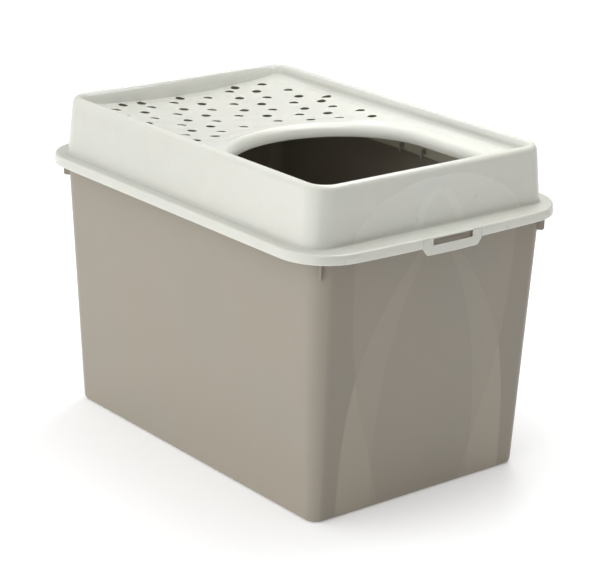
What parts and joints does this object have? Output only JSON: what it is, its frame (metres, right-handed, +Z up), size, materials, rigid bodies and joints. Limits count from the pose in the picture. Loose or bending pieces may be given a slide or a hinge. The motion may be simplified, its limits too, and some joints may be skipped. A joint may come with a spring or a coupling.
{
  "type": "top-entry cat litter box",
  "caption": "Tall tapered litter tub with a lift-off hood: sunken drained deck, arched entry opening in the top and a swing-out latch at each short end.",
  "frame": {"origin": "middle of the tub's underside, on the floor", "axes": "+Z up, +Y along the length towards the drained deck at the rear, +X across the width; the entry opening and the front latch are at -Y"},
  "size_m": [0.393, 0.572, 0.404],
  "materials": {
    "tub_plastic": "satin taupe polypropylene",
    "hood_plastic": "semi-gloss off-white polypropylene"
  },
  "bodies": {
    "tub": {"tub": "tub_plastic", "corner_lugs": "tub_plastic", "front_catch": "tub_plastic", "rear_catch": "tub_plastic"},
    "lid": {"lid": "hood_plastic", "locating_ribs": "hood_plastic"},
    "front_latch": {"front_latch": "hood_plastic"},
    "rear_latch": {"rear_latch": "hood_plastic"}
  },
  "joints": [
    {"name": "lid_lift", "type": "slide", "parent": "tub", "child": "lid", "axis": [0, 0, 1], "range_m": [0, 0.1]},
    {"name": "front_latch_flex", "type": "hinge", "parent": "lid", "child": "front_latch", "pos_m": [0, -0.2849, 0.3307], "axis": [-1, 0, 0], "range_deg": [0, 12], "stiffness_Nm_per_rad": 0.4},
    {"name": "rear_latch_flex", "type": "hinge", "parent": "lid", "child": "rear_latch", "pos_m": [0, 0.2849, 0.3307], "axis": [1, 0, 0], "range_deg": [0, 12], "stiffness_Nm_per_rad": 0.4}
  ]
}
